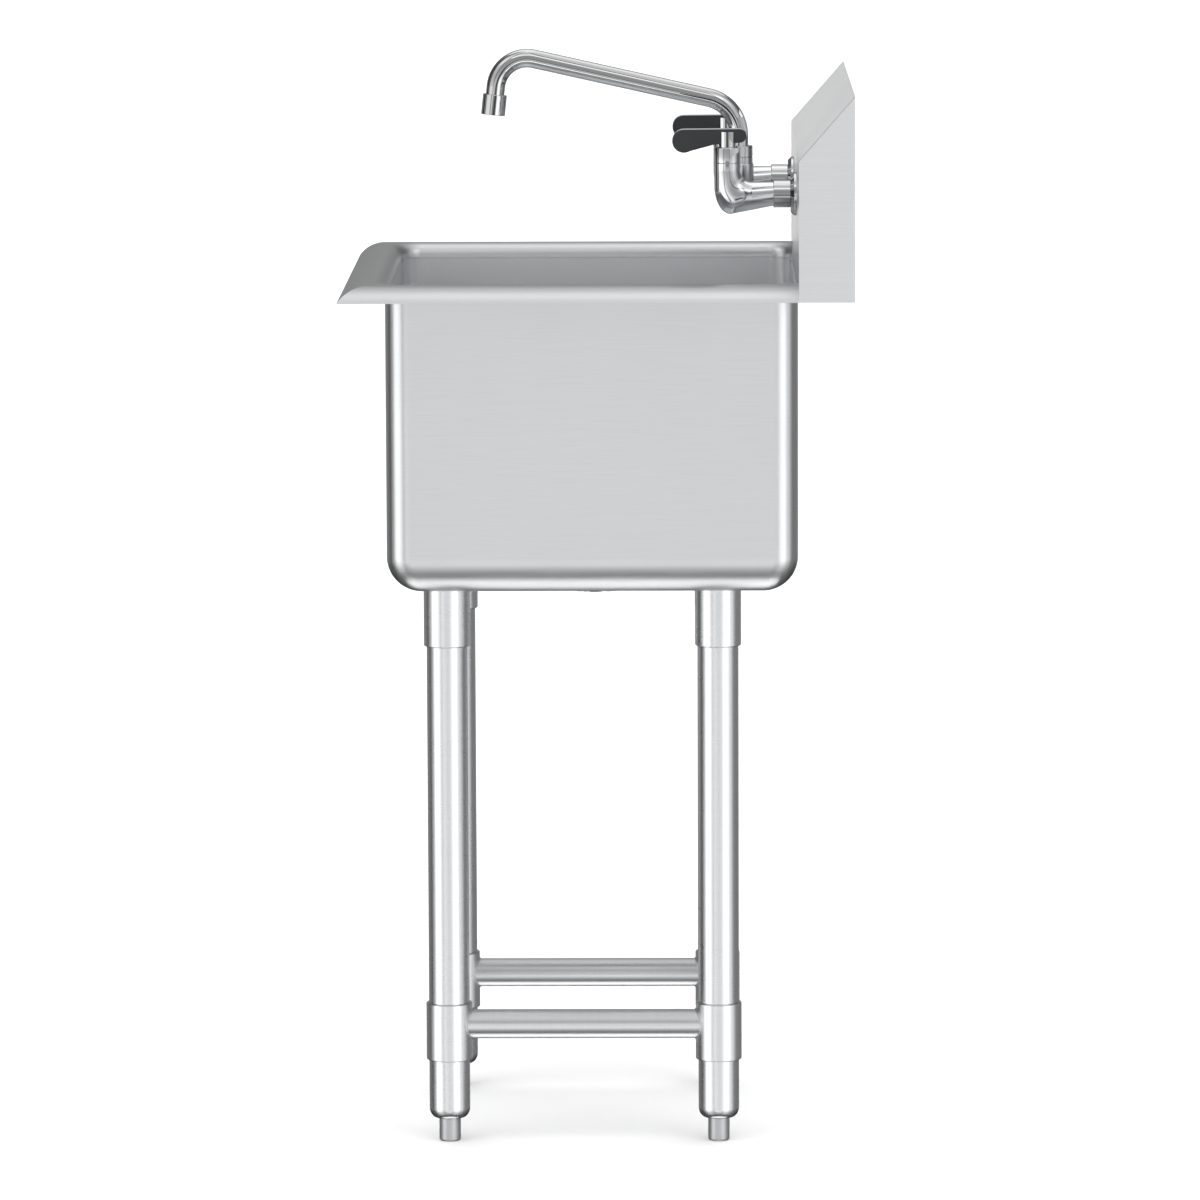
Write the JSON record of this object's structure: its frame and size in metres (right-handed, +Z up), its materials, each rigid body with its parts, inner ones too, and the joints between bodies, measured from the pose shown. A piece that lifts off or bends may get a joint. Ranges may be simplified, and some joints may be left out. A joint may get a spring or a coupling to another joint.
{
  "type": "utility laundry sink",
  "caption": "Free-standing steel utility sink with a deep coved bowl, sloped backsplash, tube legs with side rails, and a splash-mount faucet with swing spout and black levers.",
  "frame": {"origin": "on the floor, under the middle of the whole outline", "axes": "+Z up; -Y is the front, where the user stands; +Y is the wall side; +X is the cold-water side"},
  "size_m": [0.5516, 0.512, 1.1028],
  "materials": {
    "bowl_steel": "satin, brushed along the walls",
    "rim_steel": "brighter satin, brushed along the rim",
    "splash_steel": "satin, brushed along the sheet",
    "leg_steel": "satin, turned grain round the tube",
    "socket_steel": "satin, turned grain",
    "rail_steel": "satin, turned grain round the tube",
    "foot_steel": "satin, turned",
    "screw_steel": "plain",
    "drain_chrome": "polished",
    "drain_brass": "cast, as turned",
    "strainer_steel": "satin",
    "black_rubber": "matt",
    "faucet_chrome": "polished",
    "spout_chrome": "polished",
    "nozzle_chrome": "polished",
    "handle_chrome": "polished",
    "handle_black": "smooth black",
    "shank_brass": "turned and threaded",
    "hot_red": "plain dot",
    "cold_blue": "plain dot"
  },
  "bodies": {
    "stand": {"bowl": "bowl_steel", "rim_front": "rim_steel", "rim_left": "rim_steel", "rim_right": "rim_steel", "backsplash": "splash_steel", "backsplash_end_left": "splash_steel", "backsplash_end_right": "splash_steel", "leg_socket_front_left": "socket_steel", "leg_tube_front_left": "leg_steel", "rail_collar_front_left": "socket_steel", "bullet_foot_front_left": "foot_steel", "leg_socket_front_right": "socket_steel", "leg_tube_front_right": "leg_steel", "rail_collar_front_right": "socket_steel", "bullet_foot_front_right": "foot_steel", "leg_socket_rear_left": "socket_steel", "leg_tube_rear_left": "leg_steel", "rail_collar_rear_left": "socket_steel", "bullet_foot_rear_left": "foot_steel", "leg_socket_rear_right": "socket_steel", "leg_tube_rear_right": "leg_steel", "rail_collar_rear_right": "socket_steel", "bullet_foot_rear_right": "foot_steel", "leg_set_screws": "screw_steel", "side_rail_left": "rail_steel", "side_rail_right": "rail_steel", "drain_body": "drain_chrome", "drain_gasket": "black_rubber", "drain_nut": "drain_brass", "wall_flange_left": "faucet_chrome", "inlet_shank_left": "shank_brass", "wall_flange_right": "faucet_chrome", "inlet_shank_right": "shank_brass", "union_nuts": "faucet_chrome", "shank_washers": "black_rubber", "shank_lock_nuts": "shank_brass", "faucet_body": "faucet_chrome", "bonnet_left": "faucet_chrome", "valve_cartridge_left": "shank_brass", "bonnet_right": "faucet_chrome", "valve_cartridge_right": "shank_brass", "spout_nut": "faucet_chrome", "spout_seal": "black_rubber"},
    "spout_arm": {"spout": "spout_chrome", "spout_nozzle": "nozzle_chrome"},
    "hot_handle": {"valve_stem_left": "shank_brass", "handle_hub_left": "handle_chrome", "handle_lever_left": "handle_black", "handle_screw_left": "screw_steel", "index_button_left": "hot_red"},
    "cold_handle": {"valve_stem_right": "shank_brass", "handle_hub_right": "handle_chrome", "handle_lever_right": "handle_black", "handle_screw_right": "screw_steel", "index_button_right": "cold_blue"},
    "lift_strainer": {"strainer": "strainer_steel"},
    "foot_front_left": {"foot_stem_front_left": "foot_steel"},
    "foot_front_right": {"foot_stem_front_right": "foot_steel"},
    "foot_rear_left": {"foot_stem_rear_left": "foot_steel"},
    "foot_rear_right": {"foot_stem_rear_right": "foot_steel"}
  },
  "joints": [
    {"name": "spout_swing", "type": "hinge", "parent": "stand", "child": "spout_arm", "pos_m": [0, 0.14365, 0.9857], "axis": [0, 0, 1], "range_deg": [-100, 100]},
    {"name": "hot_turn", "type": "hinge", "parent": "stand", "child": "hot_handle", "pos_m": [-0.1016, 0.1311, 0.992], "axis": [0, 0, 1], "range_deg": [-90, 0]},
    {"name": "cold_turn", "type": "hinge", "parent": "stand", "child": "cold_handle", "pos_m": [0.1016, 0.1311, 0.992], "axis": [0, 0, 1], "range_deg": [0, 90]},
    {"name": "strainer_lift", "type": "slide", "parent": "stand", "child": "lift_strainer", "axis": [0, 0, 1], "range_m": [0, 0.36]},
    {"name": "foot_front_left_level", "type": "slide", "parent": "stand", "child": "foot_front_left", "axis": [0, 0, -1], "range_m": [0, 0.022]},
    {"name": "foot_front_right_level", "type": "slide", "parent": "stand", "child": "foot_front_right", "axis": [0, 0, -1], "range_m": [0, 0.022]},
    {"name": "foot_rear_left_level", "type": "slide", "parent": "stand", "child": "foot_rear_left", "axis": [0, 0, -1], "range_m": [0, 0.022]},
    {"name": "foot_rear_right_level", "type": "slide", "parent": "stand", "child": "foot_rear_right", "axis": [0, 0, -1], "range_m": [0, 0.022]}
  ]
}
